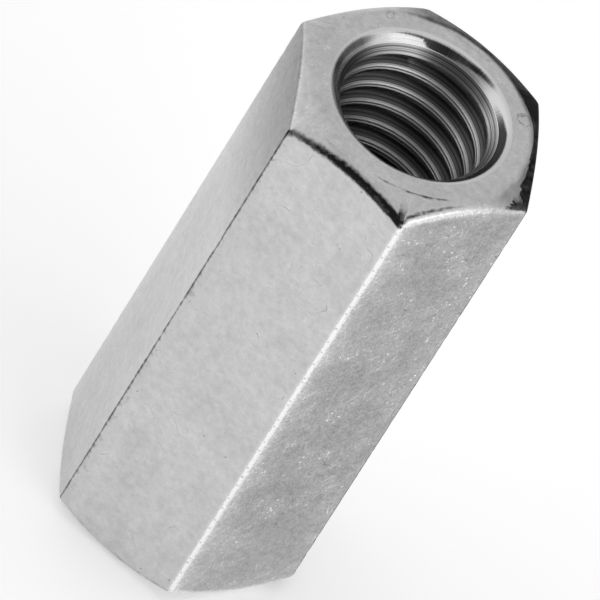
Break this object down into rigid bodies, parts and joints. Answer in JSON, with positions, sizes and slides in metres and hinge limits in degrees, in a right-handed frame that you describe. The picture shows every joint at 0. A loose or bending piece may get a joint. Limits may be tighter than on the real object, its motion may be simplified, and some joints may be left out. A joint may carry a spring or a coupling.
{
  "type": "coupling nut",
  "caption": "Long hexagonal nut with a threaded through hole and chamfered ends, for joining threaded rods end to end.",
  "frame": {"origin": "centre of the lower end face, on the axis of the threaded hole", "axes": "+Z along the hole from the lower end to the upper end; +X through one of the long hex edges, so -Y is square to a flat"},
  "size_m": [0.02, 0.0174, 0.0444],
  "materials": {
    "zinc_plated_steel": "bright zinc plate, satin"
  },
  "bodies": {
    "root": {"coupling_nut": "zinc_plated_steel"}
  },
  "joints": []
}
